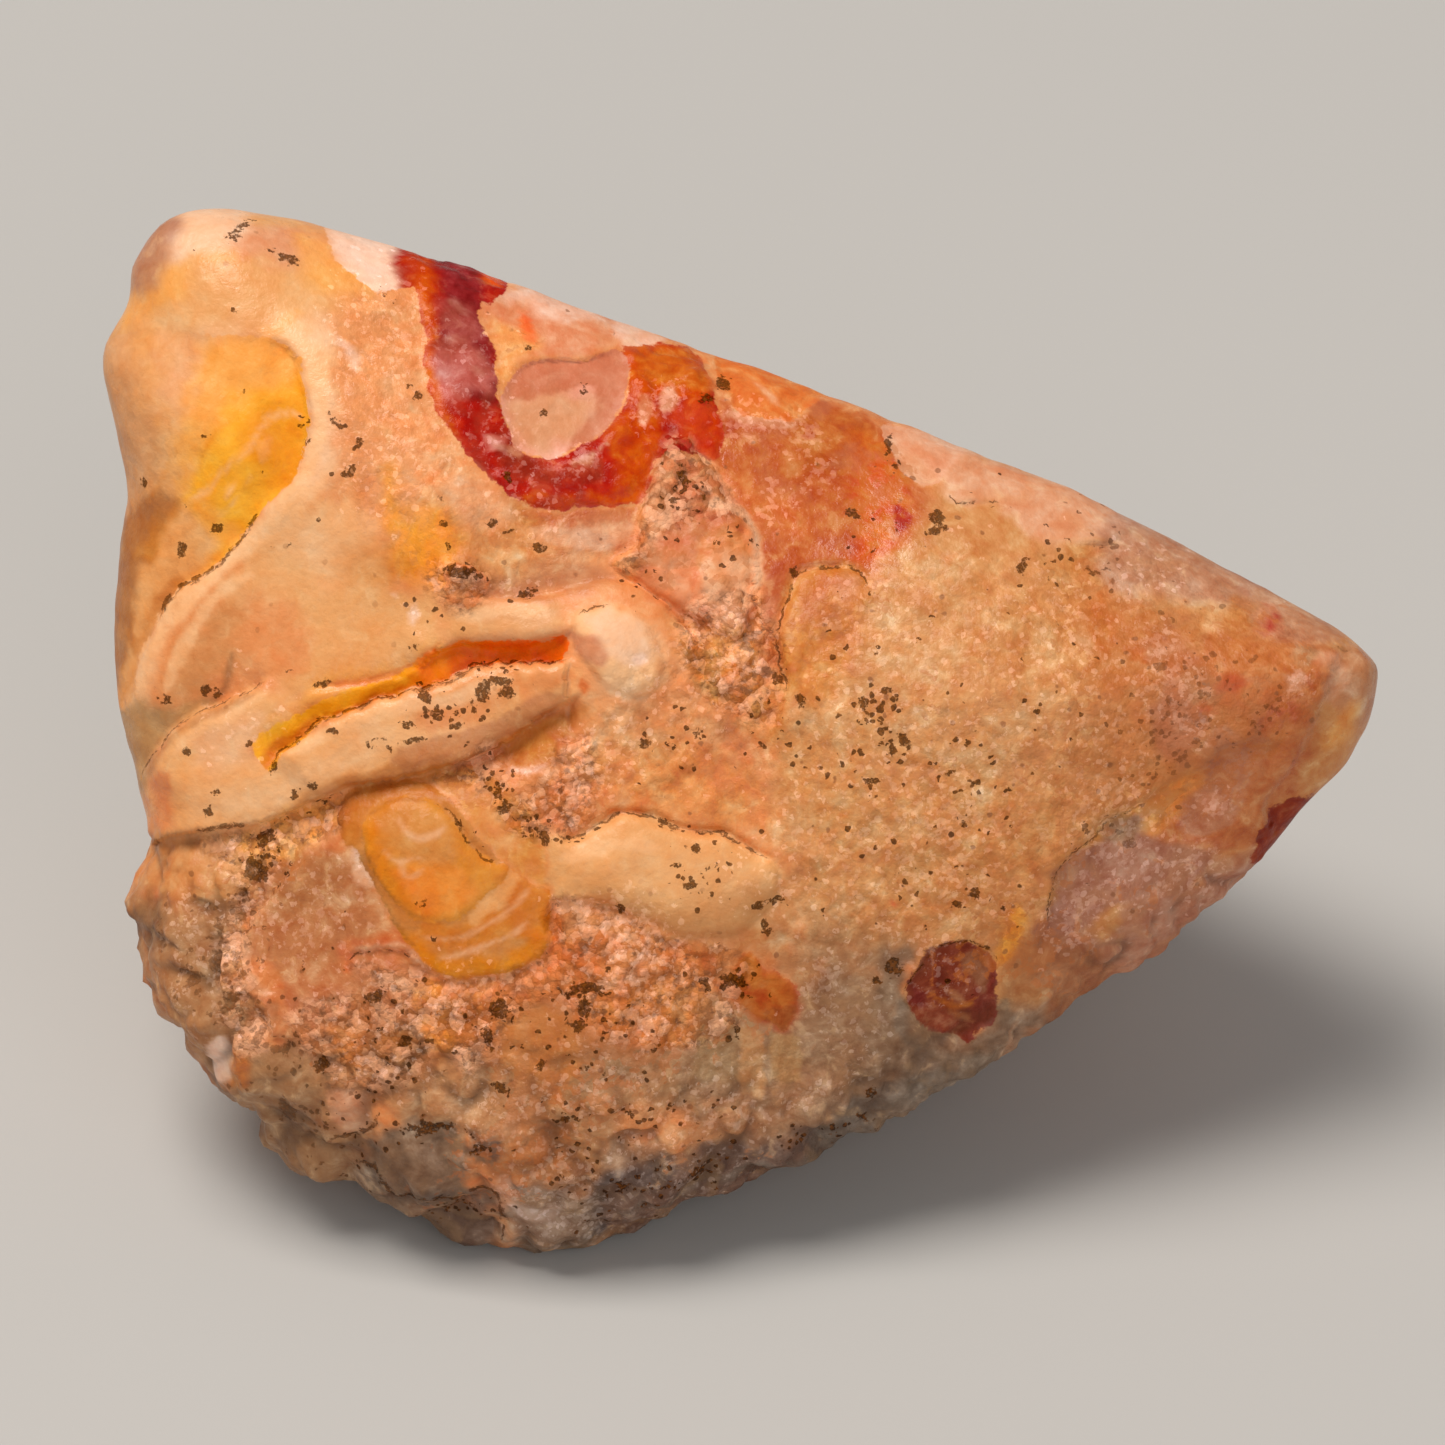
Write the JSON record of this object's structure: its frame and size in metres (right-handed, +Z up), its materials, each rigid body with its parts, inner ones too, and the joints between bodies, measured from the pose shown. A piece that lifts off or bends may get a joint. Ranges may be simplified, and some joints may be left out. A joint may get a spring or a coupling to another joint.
{
  "type": "agate geode fragment",
  "caption": "Rough solid agate geode fragment with rounded lobes, folds and a broken edge, resting on a small flat spot.",
  "frame": {"origin": "centre of the stone's bounding box in X and Y, at the level it rests on", "axes": "+X along the longest side, towards the pointed end; +Z up; the coloured face looks towards -Y and up"},
  "size_m": [0.0493, 0.0318, 0.0333],
  "materials": {
    "chalcedony": "waxy, slightly translucent chalcedony in peach, cream and orange with red bands and dark grains"
  },
  "bodies": {
    "root": {"agate": "chalcedony"}
  },
  "joints": []
}
